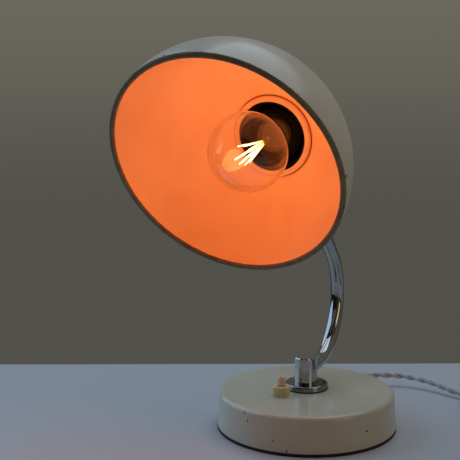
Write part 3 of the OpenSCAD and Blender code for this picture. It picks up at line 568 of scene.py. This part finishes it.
def shade_paint():
    """The shade: cream enamel outside; inside, painted light of the bulb as an orange colour and glow; and a
    dark khaki rim, painted for both its wear and the shade on its rolled edge.
    """
    material, tree, shader = finish_material("shade_enamel", Specular_IOR_Level=0.5, Coat_Roughness=0.15)
    vector = coordinates(tree)
    from_centre = put(tree, "ShaderNodeVectorMath", {0: vector, 1: tuple(SHADE_CENTRE)},
                      operation="SUBTRACT").outputs[0]
    radius = put(tree, "ShaderNodeVectorMath", {0: from_centre}, operation="LENGTH").outputs["Value"]
    above_rim = put(tree, "ShaderNodeVectorMath", {0: from_centre, 1: tuple(SHADE_POLE)},
                    operation="DOT_PRODUCT").outputs["Value"]
    wall = SHADE_R - SHADE_WALL / 2
    inside = maths(tree, "LESS_THAN", radius, wall)
    ragged = maths(tree, "ADD", above_rim, maths(tree, "MULTIPLY", noise(tree, vector, 420.0, 4.0), 1.6 * MM))
    rim = ramp(tree, ragged, -0.3 * MM, -0.9 * MM)
    from_seat = put(tree, "ShaderNodeVectorMath", {0: vector, 1: tuple(SEAT)},
                    operation="SUBTRACT").outputs[0]
    turned_away = put(tree, "ShaderNodeVectorMath", {0: from_seat, 1: tuple(HOLDER_AXIS)},
                      operation="CROSS_PRODUCT").outputs[0]
    from_axis = put(tree, "ShaderNodeVectorMath", {0: turned_away}, operation="LENGTH").outputs["Value"]
    # painted shade: a thin dark line on the inside just outside the holding ring, for the gap beside it
    ring_gap_shade = maths(tree, "MULTIPLY", ramp(tree, from_axis, 31.9 * MM, 31.4 * MM), inside)

    cloud = ramp(tree, noise(tree, vector, 12.0, 5.0, 0.6), 0.3, 0.7)
    outer = blend_colours(tree, cloud, (0.66, 0.63, 0.55, 1), (0.60, 0.56, 0.46, 1))
    specks = use(tree, PINHOLES, Vector=vector, Scale=80.0, Size=0.05, Share=0.25)["Mask"]
    outer = blend_colours(tree, maths(tree, "MULTIPLY", specks, 0.6), outer, (0.12, 0.10, 0.07, 1))
    stain = ramp(tree, noise(tree, vector, 22.0, 5.0, 0.55), 0.45, 0.8, 0.0, 0.5)
    # painted light: the cream inside is coloured orange for the bulb's light, and darker where stained
    painted_glow_and_stain = blend_colours(tree, stain, (0.78, 0.47, 0.24, 1), (0.60, 0.33, 0.15, 1))
    colour = blend_colours(tree, inside, outer, painted_glow_and_stain)
    # the rim's dark khaki paints both the wear and the shade on the rolled edge
    worn = ramp(tree, noise(tree, vector, 160.0, 5.0, 0.6), 0.42, 0.7)
    rim_wear_and_shade = blend_colours(tree, worn, (0.235, 0.165, 0.075, 1), (0.15, 0.10, 0.05, 1))
    colour = blend_colours(tree, rim, colour, rim_wear_and_shade)
    colour = blend_colours(tree, ring_gap_shade, colour, (0.10, 0.04, 0.02, 1))
    nicks = use(tree, PINHOLES, Vector=vector, Scale=120.0, Size=0.24, Share=0.14)["Mask"]
    nicks = maths(tree, "MULTIPLY", nicks, ramp(tree, above_rim, 2.2 * MM, 0.8 * MM))
    nicks = maths(tree, "MAXIMUM", nicks, chips_at(tree, vector, rim_chips()))
    colour = blend_colours(tree, nicks, colour, (0.02, 0.017, 0.014, 1))
    tree.links.new(colour, shader.inputs["Base Color"])

    marks = use(tree, SMUDGES, Vector=vector, Scale=40.0, Low=0.28, High=0.5)
    rough = blend_values(tree, maths(tree, "MAXIMUM", rim, nicks), marks["Roughness"], 0.7)
    tree.links.new(blend_values(tree, inside, rough, 0.55), shader.inputs["Roughness"])
    coat = maths(tree, "MULTIPLY", maths(tree, "SUBTRACT", 1.0, maths(tree, "MAXIMUM", rim, inside)), 0.3)
    tree.links.new(coat, shader.inputs["Coat Weight"])

    # painted light: an orange emission, strongest near the filament, for the bulb's light on the inside
    glow = ramp(tree, distance_from(tree, vector, FILAMENT), 130 * MM, 50 * MM, 0.35, 1.0)
    glow = maths(tree, "MULTIPLY", glow, maths(tree, "SUBTRACT", 1.0, maths(tree, "MULTIPLY", stain, 0.35)))
    bright = maths(tree, "SUBTRACT", 1.0, maths(tree, "MAXIMUM", rim, maths(tree, "MAXIMUM", ring_gap_shade, nicks)))
    lit = maths(tree, "MULTIPLY", glow, maths(tree, "MULTIPLY", inside, bright))
    painted_glow_colour = blend_colours(tree, lit, (0, 0, 0, 1), (1.0, 0.165, 0.034, 1))
    tree.links.new(painted_glow_colour, shader.inputs["Emission Color"])
    shader.inputs["Emission Strength"].default_value = 0.37
    height = maths(tree, "SUBTRACT", maths(tree, "MULTIPLY", noise(tree, vector, 300.0, 2.0), 0.15),
                   maths(tree, "MAXIMUM", nicks, maths(tree, "MULTIPLY", specks, 0.6)))
    raise_surface(tree, shader, height, 0.4, 0.2 * MM)
    return material


def lit_enamel():
    """The ring that holds the shade, in the same enamel and the same light as the inside of the dome."""
    material, tree, shader = finish_material("lit_enamel", Roughness=0.45, Specular_IOR_Level=0.5)
    vector = coordinates(tree)
    stain = ramp(tree, noise(tree, vector, 60.0, 5.0, 0.6), 0.45, 0.8, 0.0, 0.4)
    # painted light: the ring's orange colour and emission stand for the bulb's light on cream enamel
    tree.links.new(blend_colours(tree, stain, (0.78, 0.47, 0.24, 1), (0.52, 0.30, 0.14, 1)),
                   shader.inputs["Base Color"])
    tree.links.new(blend_colours(tree, stain, (1.0, 0.21, 0.040, 1), (0.8, 0.14, 0.025, 1)),
                   shader.inputs["Emission Color"])
    shader.inputs["Emission Strength"].default_value = 0.2
    raise_surface(tree, shader, noise(tree, vector, 400.0, 3.0), 0.2, 0.1 * MM)
    return material


def metal(name, colour, low, high, scale=60.0, dull=(0.25, 0.25, 0.26), dullness=0.25):
    """Polished or plain metal with finger marks, dull patches and a fine grain."""
    material, tree, shader = finish_material(name, Metallic=1.0)
    vector = coordinates(tree)
    marks = use(tree, SMUDGES, Vector=vector, Scale=scale, Low=low, High=high)
    share = maths(tree, "MULTIPLY", marks["Haze"], dullness)
    pits = use(tree, PINHOLES, Vector=vector, Scale=260.0, Size=0.12, Share=0.10)["Mask"]
    colour = blend_colours(tree, share, (*colour, 1), (*dull, 1))
    colour = blend_colours(tree, maths(tree, "MULTIPLY", pits, 0.7), colour, (0.10, 0.085, 0.07, 1))
    tree.links.new(colour, shader.inputs["Base Color"])
    tree.links.new(marks["Roughness"], shader.inputs["Roughness"])
    height = maths(tree, "SUBTRACT", noise(tree, vector, 500.0, 3.0), pits)
    raise_surface(tree, shader, height, 0.3, 0.02 * MM)
    return material


def moulded(name, light, dark, rough=0.25, scale=40.0, coat=0.3, depth=0.05, gloss=0.5):
    """Bakelite or another moulded plastic: a mottled colour, worn gloss and fine scratches."""
    material, tree, shader = finish_material(name, Coat_Weight=coat, Coat_Roughness=0.1,
                                             Specular_IOR_Level=gloss)
    vector = coordinates(tree)
    swirl = ramp(tree, noise(tree, vector, scale, 6.0, 0.6), 0.35, 0.65)
    tree.links.new(blend_colours(tree, swirl, (*light, 1), (*dark, 1)), shader.inputs["Base Color"])
    marks = use(tree, SMUDGES, Vector=vector, Scale=120.0, Low=rough, High=rough + 0.25)
    tree.links.new(marks["Roughness"], shader.inputs["Roughness"])
    raise_surface(tree, shader, noise(tree, vector, 700.0, 3.0), 0.25, depth * MM)
    return material


def rubber(name, colour, rough=0.65):
    """Old rubber, with a grey bloom that is duller than the rest."""
    material, tree, shader = finish_material(name, Specular_IOR_Level=0.35)
    vector = coordinates(tree)
    bloom = ramp(tree, noise(tree, vector, 90.0, 6.0, 0.7), 0.4, 0.75, 0.0, 0.5)
    pale = tuple(min(1.0, c * 2.2 + 0.01) for c in colour)
    tree.links.new(blend_colours(tree, bloom, (*colour, 1), (*pale, 1)), shader.inputs["Base Color"])
    tree.links.new(ramp(tree, bloom, 0.0, 0.5, rough, rough + 0.2), shader.inputs["Roughness"])
    raise_surface(tree, shader, noise(tree, vector, 900.0, 4.0), 0.4, 0.06 * MM)
    return material


def felt():
    """Dark green felt with a fine nap."""
    material, tree, shader = finish_material("felt", Roughness=0.95, Sheen_Weight=0.4, Sheen_Roughness=0.5)
    vector = coordinates(tree)
    fibres = noise(tree, vector, 600.0, 8.0, 0.75)
    colour = blend_colours(tree, ramp(tree, fibres, 0.35, 0.7),
                           (0.035, 0.06, 0.038, 1), (0.10, 0.15, 0.10, 1))
    tree.links.new(colour, shader.inputs["Base Color"])
    raise_surface(tree, shader, fibres, 0.8, 0.4 * MM)
    return material


def cast_iron():
    """Sand-cast iron with patches of rust."""
    material, tree, shader = finish_material("cast_iron", Metallic=0.6)
    vector = coordinates(tree)
    sand = noise(tree, vector, 320.0, 8.0, 0.7)
    rust = ramp(tree, noise(tree, vector, 60.0, 6.0, 0.65), 0.55, 0.75)
    colour = blend_colours(tree, rust, (0.07, 0.07, 0.072, 1), (0.16, 0.07, 0.035, 1))
    tree.links.new(colour, shader.inputs["Base Color"])
    tree.links.new(ramp(tree, sand, 0.3, 0.7, 0.55, 0.85), shader.inputs["Roughness"])
    raise_surface(tree, shader, sand, 0.9, 0.5 * MM)
    return material


def woven(name, light, dark, round_count, pitch):
    """Braided yarn over a flexible lead, with a soft sheen and slow fading."""
    material, tree, shader = finish_material(name, Roughness=0.85, Sheen_Weight=0.35, Sheen_Roughness=0.4)
    uv = put(tree, "ShaderNodeTexCoord").outputs["UV"]
    threads = use(tree, BRAID, Vector=uv, Round=round_count, Pitch=pitch)
    fading = noise(tree, coordinates(tree), 30.0, 4.0)
    # painted shade: the colour is darker where the braid is low, between its yarns
    colour = blend_colours(tree, ramp(tree, threads["Height"], 0.55, 1.0), (*dark, 1), (*light, 1))
    pale = tuple(min(1.0, c * 1.25) for c in light)
    colour = blend_colours(tree, ramp(tree, fading, 0.45, 0.7, 0.0, 0.6), colour, (*pale, 1))
    tree.links.new(colour, shader.inputs["Base Color"])
    raise_surface(tree, shader, threads["Height"], 0.7, 0.25 * MM)
    return material


def clear_glass(name, glow=0.0):
    """Blown glass with slow waves. glow is the faint light that it scatters near the filament."""
    material, tree, shader = finish_material(name, (1, 1, 1), Roughness=0.0, IOR=1.45,
                                             Transmission_Weight=1.0, Emission_Strength=glow,
                                             Emission_Color=(1.0, 0.25, 0.04, 1))
    vector = coordinates(tree)
    waves = noise(tree, vector, 18.0, 2.0)
    raise_surface(tree, shader, waves, 0.15, 0.6 * MM)
    return material


def hot_wire():
    """The lit filament: yellow-white in its middle and orange towards its ends."""
    material, tree, shader = finish_material("filament", (0.9, 0.6, 0.3), Roughness=0.6)
    heat = ramp(tree, distance_from(tree, coordinates(tree), FILAMENT), 26 * MM, 6 * MM)
    tree.links.new(blend_colours(tree, heat, (1.0, 0.36, 0.07, 1), (1.0, 0.66, 0.26, 1)),
                   shader.inputs["Emission Color"])
    shader.inputs["Emission Strength"].default_value = 5.0
    return material


MATERIALS = {
    "enamel": old_enamel("enamel", base_chips(), (0.60, 0.565, 0.465), (0.54, 0.50, 0.39)),
    "shade_enamel": shade_paint(),
    "lit_enamel": lit_enamel(),
    "chrome": metal("chrome", (0.43, 0.44, 0.46), 0.03, 0.14, dullness=0.2),
    # painted shade and reflection: a darker copy of the chrome, for the pivot flange
    "shaded_chrome": metal("shaded_chrome", (0.26, 0.27, 0.28), 0.04, 0.14, dullness=0.3),
    "steel": metal("steel", (0.50, 0.50, 0.51), 0.28, 0.5, 90.0),
    "cast_iron": cast_iron(),
    "brass": metal("brass", (0.62, 0.44, 0.18), 0.22, 0.5, 110.0, (0.30, 0.19, 0.08), 0.6),
    "black_rubber": rubber("black_rubber", (0.012, 0.012, 0.012)),
    "lead_rubber": rubber("lead_rubber", (0.05, 0.05, 0.055)),
    "felt": felt(),
    "fibre": moulded("fibre", (0.05, 0.04, 0.033), (0.03, 0.025, 0.02), 0.6, 200.0, 0.0, 0.15),
    "brown_bakelite": moulded("brown_bakelite", (0.12, 0.045, 0.02), (0.05, 0.02, 0.01)),
    "ivory_bakelite": moulded("ivory_bakelite", (0.88, 0.70, 0.42), (0.74, 0.56, 0.31), 0.3, 150.0),
    "button_bakelite": moulded("button_bakelite", (0.86, 0.60, 0.42), (0.74, 0.50, 0.33), 0.3, 150.0),
    "black_bakelite": moulded("black_bakelite", (0.003, 0.003, 0.003), (0.006, 0.004, 0.003),
                              0.25, 60.0, 0.15),
    "dull_brass": metal("dull_brass", (0.16, 0.10, 0.05), 0.4, 0.7, 110.0, (0.08, 0.05, 0.03), 0.6),
    "pitch_bakelite": moulded("pitch_bakelite", (0.0015, 0.0012, 0.001), (0.003, 0.002, 0.0015),
                              0.45, 60.0, 0.0, gloss=0.08),
    "porcelain": moulded("porcelain", (0.78, 0.77, 0.72), (0.70, 0.68, 0.62), 0.12, 80.0, 0.5, 0.02),
    "cord_fabric": woven("cord_fabric", (0.66, 0.63, 0.67), (0.34, 0.31, 0.35), 5.0, 2.2 * MM),
    "bulb_glass": clear_glass("bulb_glass"),
    "stem_glass": clear_glass("stem_glass", 0.05),
    "black_glass": moulded("black_glass", (0.01, 0.01, 0.012), (0.02, 0.02, 0.025), 0.08, 60.0, 0.6, 0.02),
    "filament": hot_wire(),
}


def paint_cad_nodes():
    """Every CAD node takes the material of its slot in the record."""
    for row in frame["record"]["subparts"]:
        cover(NODES[row["node"]], MATERIALS[row["material_slot"]])


paint_cad_nodes()
# the holding ring takes the painted bulb light, and the pivot flange the shaded copy of the chrome
for node, look in (("shade_ring", "lit_enamel"), ("bulb_cap", "dull_brass"), ("thread_shell", "dull_brass"),
                   ("pivot_flange", "shaded_chrome"), ("holder_body", "pitch_bakelite")):
    cover(NODES[node], MATERIALS[look])


# ---------------------------------------------------------------- bulb and its holder

GLOBE_R, NECK_R, BLEND_R = 29 * MM, 16 * MM, 25 * MM       # globe, neck and the curve between them
GLOBE_Z = -43.54 * MM            # middle of the globe, in front of the shade's seat
BLEND_X = NECK_R + BLEND_R
BLEND_RISE = math.sqrt((GLOBE_R + BLEND_R) ** 2 - BLEND_X ** 2)


def in_mm(points):
    """Points of an outline that are given in millimetres."""
    return [(r * MM, z * MM) for r, z in points]


def glass_outline(inset):
    """From the front of the globe, round it, in along the shoulder and back to the end of the neck."""
    turn = math.degrees(math.atan2(BLEND_RISE, BLEND_X))
    return (arc((0, GLOBE_Z), GLOBE_R - inset, -90, turn, 26)
            + arc((BLEND_X, GLOBE_Z + BLEND_RISE), BLEND_R + inset, 180 + turn, 180, 10)[1:]
            + [(NECK_R - narrower - inset, z)
               for narrower, z in in_mm([(0, -0.5), (1.0, 2.6), (3.0, 4.6)])])


def rod_rings(a, b, radius, sides=6):
    """The two rings of a straight round rod."""
    ahead = (b - a).normalized()
    u = ahead.orthogonal().normalized()
    return [ring_round(end, radius, u, ahead.cross(u), sides) for end in (a, b)]


CAGE_BACK = (2.0, -20.5)         # distance from the axis and height of the wires' ends at the stem
CAGE_FRONT = (7.0, -53.0)        # and at the tips of the supports
CAGE_CORNERS = 17
CAGE_START, CAGE_STEP = -132, 19                            # degrees round the axis


def cage_points():
    """The filament's zigzag between the stem's tip and the ends of its supports, in the holder's frame."""
    out = []
    for i in range(CAGE_CORNERS):
        turn = math.radians(CAGE_START + CAGE_STEP * i)
        radius, z = (CAGE_BACK, CAGE_FRONT)[i % 2]
        out.append(Vector((radius * math.cos(turn), radius * math.sin(turn), z)) * MM)
    return out


def add_bulb():
    """The lit bulb: its globe, the glass stem inside it and the hot wire."""
    glass = turned("clear_globe", glass_outline(0) + glass_outline(0.6 * MM)[::-1], AT_HOLDER, 96)
    dress(glass, MATERIALS["bulb_glass"], "head", "bulb_glass")
    outside = [(11.5, 3.6), (11.5, -3.0), (10.6, -4.4), (5.2, -10.4), (3.2, -13.6), (1.5, -15.6),
               (1.4, -18.2), (2.2, -19.8), (1.6, -21.5), (0, -22.2)]
    hollow = [(0, -13.0), (2.3, -12.4), (4.4, -9.8), (9.8, -3.9), (10.7, -2.7), (10.7, 3.6)]
    stem = turned("glass_stem", in_mm(outside + hollow), AT_HOLDER, 64)
    dress(stem, MATERIALS["stem_glass"], "head", "bulb_stem")
    corners = [AT_HOLDER @ p for p in cage_points()]
    rods = [rod_rings(a, b, 0.4 * MM) for a, b in zip(corners, corners[1:])]
    wire = mesh_piece("filament_wire", *sweep(rods, [(0, 1)] * len(rods)))
    dress(wire, MATERIALS["filament"], "head", "bulb_filament")
    return [glass, stem, wire]


def add_holder_skirt():
    """The bakelite skirt round the bulb's neck, stepped inside."""
    outline = [(26.9, 26.0), (26.9, -2.0), (26.3, -2.8), (25.2, -2.8), (24.6, -2.1), (24.4, 2.0),
               (24.4, 5.0), (23.5, 5.6), (23.5, 9.6), (22.6, 10.2), (22.6, 14.4), (21.6, 15.0),
               (21.6, 23.0), (20.1, 23.0), (20.1, 26.0), (26.9, 26.0)]
    skirt = turned("stepped_skirt", in_mm(outline), AT_HOLDER, 96, 25)
    dress(skirt, MATERIALS["pitch_bakelite"], "head", "holder_skirt")


see_through = add_bulb()
add_holder_skirt()


# ---------------------------------------------------------------- lead that bridges the tilt joint

LOOP_R = 1.9 * MM
ARM_MOUTH = Vector((0, -9.67, 206.28)) * MM      # where the lead leaves the fork
MOUTH_WAY = Vector((0, 0.7193, 0.6947))          # square to the arm, upwards
CUP_END = Vector((0, 1.07, 261.96)) * MM         # middle of the cup's back


def add_loop_lead():
    """A slack rubber lead from the arm's mouth to the cup, made in its rest shape only; the real lead bends
    with the tilt joint.
    """
    out, back = MM * MOUTH_WAY, MM * HOLDER_AXIS
    route = [ARM_MOUTH + 3 * out, ARM_MOUTH + 11 * out, ARM_MOUTH + 21 * out + Vector((0, 3, 6)) * MM,
             CUP_END + 21 * back + Vector((0, 2, -14)) * MM, CUP_END + 14 * back + Vector((0, 0, -2)) * MM,
             CUP_END + 6 * back, CUP_END - 4 * back]
    line = evenly(smooth_route(route, 12), 1.2 * MM)
    rings, along, done = [], [], 0.0
    for i, (point, (_, u, v)) in enumerate(zip(line, turning_frames(line))):
        if i:
            done += (point - line[i - 1]).length
        rings.append(ring_round(point, LOOP_R, u, v, 16))
        along.append(done)
    lead = mesh_piece("slack_lead", *sweep([rings], [along]))
    dress(lead, MATERIALS["lead_rubber"], None, "loop_lead")
    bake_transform(lead)


add_loop_lead()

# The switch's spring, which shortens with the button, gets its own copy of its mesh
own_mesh(NODES["switch_spring"])


# ---------------------------------------------------------------- bush and plug

BUSH_FOOT = Vector((0, 69, 11)) * MM
PLUG_MOUTH = Vector((202, 62, 17)) * MM          # where the cord enters the plug's sleeve


def facing(start, ahead):
    """A frame whose Z axis points along ahead."""
    return Matrix.Translation(start) @ Vector(ahead).to_track_quat("Z", "Y").to_matrix().to_4x4()


def ribs(start, end, wide, narrow, count, depth):
    """A tapered outline with grooves between its ribs."""
    out, step = [], (end - start) / count
    for i in range(count):
        z = start + step * i
        r = wide + (narrow - wide) * i / count
        out += [(r, z), (r, z + 0.55 * step), (r - depth, z + 0.65 * step), (r - depth, z + 0.9 * step)]
    return out + [(narrow, end)]


def add_bush():
    """The rubber strain relief where the cord leaves the base."""
    outline = ([(4.5, 0), (5.9, 0), (5.9, 3.0), (4.5, 3.2), (4.5, 6.0), (5.5, 6.2), (5.5, 8.0), (5.0, 8.8)]
               + ribs(8.8, 23.4, 4.8, 3.7, 6, 0.45) + [(3.6, 24.0), (2.95, 24.0), (2.95, 5.0), (4.5, 0)])
    bush = turned("ribbed_bush", in_mm(outline), facing(BUSH_FOOT, (0, 1, 0)), 64, 30)
    dress(bush, MATERIALS["black_rubber"], "base", "cord_bush")


add_bush()


def add_plug():
    """A round rubber plug with grip rings on its tapered sleeve."""
    at_plug = facing(PLUG_MOUTH, (0, -1, 0))
    outline = [(2.95, 0), (4.0, 0.2)] + ribs(1.0, 13.0, 4.2, 6.4, 4, 0.6) + [(6.6, 13.4), (2.95, 13.4)]
    sleeve = turned("plug_boot", in_mm(outline + [(2.95, 0)]), at_plug, 64, 30)
    dress(sleeve, MATERIALS["black_rubber"], "base", "plug_sleeve")
    outline = [(0, 13.6), (7.4, 13.6), (7.9, 14.1)]
    outline += [(7.9 + 9.0 * math.sin(a), 14.1 + 12 * (1 - math.cos(a)))
                for a in (math.radians(15 * i) for i in range(1, 7))]
    for z in (27.5, 31.5, 35.5):
        outline += [(16.9, z), (16.2, z + 0.7), (16.2, z + 1.7), (16.9, z + 2.4)]
    outline += [(16.9, 44.2), (16.4, 45.4), (15.2, 46.0), (0, 46.0)]
    body = turned("round_plug", in_mm(outline), at_plug, 96, 30)
    dress(body, MATERIALS["black_rubber"], "base", "plug_body")


add_plug()


# ---------------------------------------------------------------- cord, coil and tail

CORD_D = 5.8 * MM
TWIST = 23 * MM
CORD_ROUTE = [(0, 93, 11), (1, 105, 11.5), (7, 119, 11), (19, 133, 10.5), (37, 142, 10), (54, 143, 9),
              (70, 140, 8), (84, 134, 6.5), (98, 129, 5), (112, 128, 4), (128, 129, 3.7), (146, 130.6, 3.7)]
TAIL_ROUTE = [(200, 100, 15.2), (201, 86, 15.4), (201.5, 74, 16), (202, 62, 17)]
COIL_CENTRE = Vector((163, 92, 0)) * MM
COIL_ROWS = [3.7, 9.5, 15.3]         # heights of the three layers
COIL_RADII = [38.8, 33.0, 27.2]      # outside turn, middle turn, inside turn
COIL_TURNS = [(0, 0), (1, 0), (2, 0), (2, 1), (1, 1), (0, 1), (0, 2), (0, 2)]   # ring and layer of each turn
TAIL_ANGLE = 78                      # how far past the last whole turn the tail leaves
STEPS_PER_TURN = 64
CHANGE_FROM = 0.7                    # share of a turn after which it moves over to the next one's place


def coil_points():
    """The turns, laid from the outside in, back out above them and once more on top, clockwise."""
    out = []
    total = 7 * STEPS_PER_TURN + round(STEPS_PER_TURN * TAIL_ANGLE / 360)
    for i in range(1, total):
        turn, part = divmod(i, STEPS_PER_TURN)
        share = part / STEPS_PER_TURN
        ease = min(1.0, max(0.0, (share - CHANGE_FROM) / (1 - CHANGE_FROM)))
        ease = ease * ease * (3 - 2 * ease)
        here, after = COIL_TURNS[turn], COIL_TURNS[min(turn + 1, len(COIL_TURNS) - 1)]
        radius = COIL_RADII[here[0]] * (1 - ease) + COIL_RADII[after[0]] * ease
        height = COIL_ROWS[here[1]] * (1 - ease) + COIL_ROWS[after[1]] * ease
        angle = math.pi / 2 - TAU * i / STEPS_PER_TURN
        out.append(COIL_CENTRE + Vector((radius * math.cos(angle), radius * math.sin(angle), height)) * MM)
    return out


def add_cord():
    """The whole cord: from the bush, along the table, round the coil and to the plug's sleeve."""
    route = smooth_route([Vector(p) * MM for p in CORD_ROUTE], 8)
    tail = smooth_route([Vector(p) * MM for p in TAIL_ROUTE], 8)
    line = evenly(route + coil_points() + tail, 2.3 * MM)
    piece = twisted_pair("twisted_cord", line, CORD_D, TWIST)
    dress(piece, MATERIALS["cord_fabric"], "base", "cord", "cord_coil", "cord_tail", slot="cord_fabric")
    return piece, line


cord, cord_line = add_cord()


# ---------------------------------------------------------------- floor and light

TABLE_SIZE = (1.7, 1.5, 0.03)
TABLE_AHEAD = Vector((-0.457, 0.889, 0))         # square to the table's back edge
EDGE_DISTANCE = 0.971                            # from below the camera to the back edge
TABLE_SHIFT = Vector((0.28, 0.144, -0.015 - 0.05 * MM))


def add_floor():
    """A pale table top, whose back edge lies a hand's width behind the lamp."""
    deselect_all()
    bpy.ops.mesh.primitive_cube_add(size=1)
    floor = bpy.context.object
    floor.name = "floor"
    floor.dimensions = TABLE_SIZE
    bpy.ops.object.transform_apply(scale=True)
    apply_modifier(floor, "BEVEL", width=4 * MM, segments=3)
    back_edge = Vector((CAMERA_PLACE.x, CAMERA_PLACE.y, 0)) + TABLE_AHEAD * EDGE_DISTANCE
    floor.location = back_edge - TABLE_AHEAD * TABLE_SIZE[1] / 2 + TABLE_SHIFT
    floor.rotation_euler.z = math.atan2(-TABLE_AHEAD.x, TABLE_AHEAD.y)
    material, tree, shader = finish_material("floor", Roughness=0.42)
    cloud = noise(tree, coordinates(tree), 3.0, 3.0)
    tree.links.new(blend_colours(tree, cloud, (0.49, 0.52, 0.58, 1), (0.54, 0.565, 0.63, 1)),
                   shader.inputs["Base Color"])
    floor.data.materials.append(material)


def area_light(name, place, target, size, power, colour):
    """A soft rectangular light that faces a target."""
    data = bpy.data.lights.new(name, "AREA")
    data.shape = "RECTANGLE"
    data.size, data.size_y = size
    data.energy = power
    data.color = colour
    light = bpy.data.objects.new(name, data)
    light.location = place
    light.rotation_euler = (Vector(target) - Vector(place)).to_track_quat("-Z", "Y").to_euler()
    bpy.context.scene.collection.objects.link(light)


def lamp_light(data, place, power, colour):
    """One of the lamp's own lights: it moves with the shade and isn't seen itself."""
    data.energy = power
    data.color = colour
    light = bpy.data.objects.new(data.name, data)
    light.location = place
    light.visible_camera = light.visible_transmission = light.visible_glossy = False
    bpy.context.scene.collection.objects.link(light)
    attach(light, "head")
    return light


def shade_light():
    """The warm light that leaves the shade's mouth and falls on the table and the base."""
    data = bpy.data.lights.new("shade_light", "AREA")
    data.shape = "DISK"
    data.size = 150 * MM
    light = lamp_light(data, SHADE_CENTRE - 3 * MM * SHADE_POLE, 0.2, (1.0, 0.36, 0.13))
    light.rotation_euler = (-SHADE_POLE).to_track_quat("-Z", "Y").to_euler()


def bulb_light():
    """The light that the filament gives inside the shade."""
    data = bpy.data.lights.new("bulb_light", "POINT")
    data.shadow_soft_size = 9 * MM
    lamp_light(data, FILAMENT, 0.031, (1.0, 0.26, 0.075))


def add_world():
    """A plain grey room with brown furniture on its near right, darker in front and towards the floor."""
    world = bpy.data.worlds.new("room")
    world.use_nodes = True
    bpy.context.scene.world = world
    tree = world.node_tree
    direction = put(tree, "ShaderNodeTexCoord").outputs["Generated"]
    way = put(tree, "ShaderNodeSeparateXYZ", {0: direction}).outputs
    share = ramp(tree, way[1], -0.3, 0.5)
    wall = blend_colours(tree, ramp(tree, way[2], -0.13, 0.12),
                         (0.084, 0.083, 0.070, 1), (0.148, 0.141, 0.114, 1))
    wood = blend_colours(tree, ramp(tree, way[0], 0.1, 0.6),
                         (0.012, 0.010, 0.008, 1), (0.060, 0.042, 0.022, 1))
    colour = blend_colours(tree, share, wood, wall)
    tree.links.new(colour, tree.nodes["Background"].inputs["Color"])


add_floor()
add_world()
area_light("window", (-1.5, -0.1, 0.9), (0, 0, 0.1), (2.2, 1.8), 15.5, (0.52, 0.75, 1.0))
area_light("ceiling", (0.1, 0.5, 1.5), (0, 0, 0), (1.4, 1.2), 7.0, (0.76, 0.87, 1.0))
area_light("side", (1.2, -0.4, 0.5), (0, 0, 0.15), (0.5, 0.8), 1.3, (1.0, 0.78, 0.52))
shade_light()
bulb_light()
for piece in see_through + [NODES["bulb_supports"]]:
    piece.visible_shadow = False
bpy.context.scene.view_settings.view_transform = "Standard"
